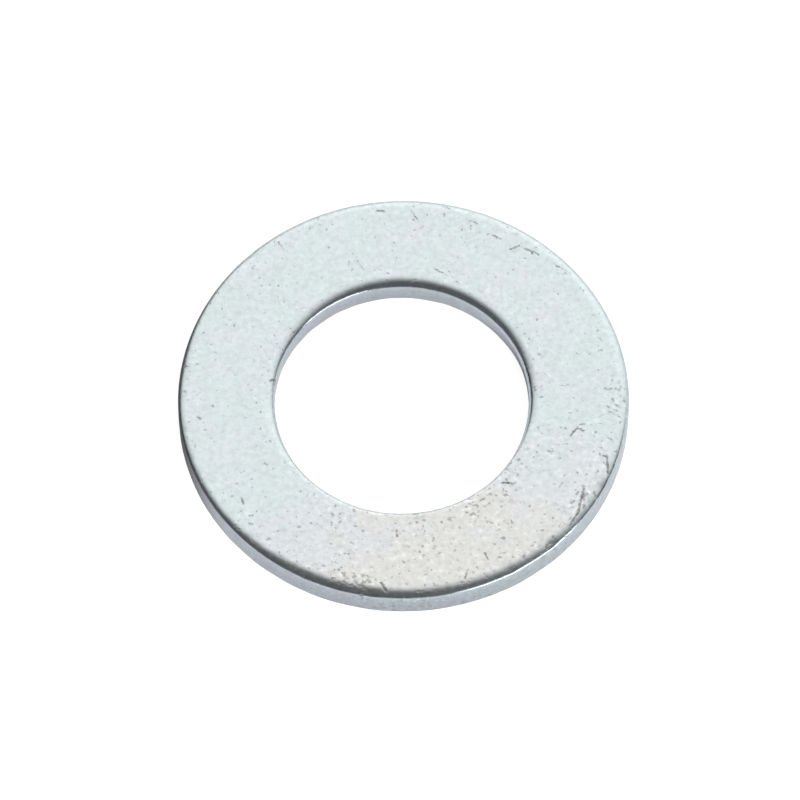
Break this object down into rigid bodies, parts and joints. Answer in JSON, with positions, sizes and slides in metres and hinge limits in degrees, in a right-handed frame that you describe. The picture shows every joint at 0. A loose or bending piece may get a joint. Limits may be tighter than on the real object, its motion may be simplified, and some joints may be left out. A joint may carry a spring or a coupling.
{
  "type": "flat washer",
  "caption": "Plain round flat washer in zinc-plated steel: a thick stamped ring with rolled upper edges that spreads the load under a bolt head or nut.",
  "frame": {"origin": "centre of the bolt hole, on the lower bearing face that the washer rests on", "axes": "+Z along the bolt, out of the upper bearing face with the rolled edges; +X and +Y are any two square directions, because the ring is round"},
  "size_m": [0.037, 0.037, 0.0028],
  "materials": {
    "zinc_plate": "bright zinc plating, satin on the faces, smoother on the sheared edges"
  },
  "bodies": {
    "root": {"washer_ring": "zinc_plate"}
  },
  "joints": []
}
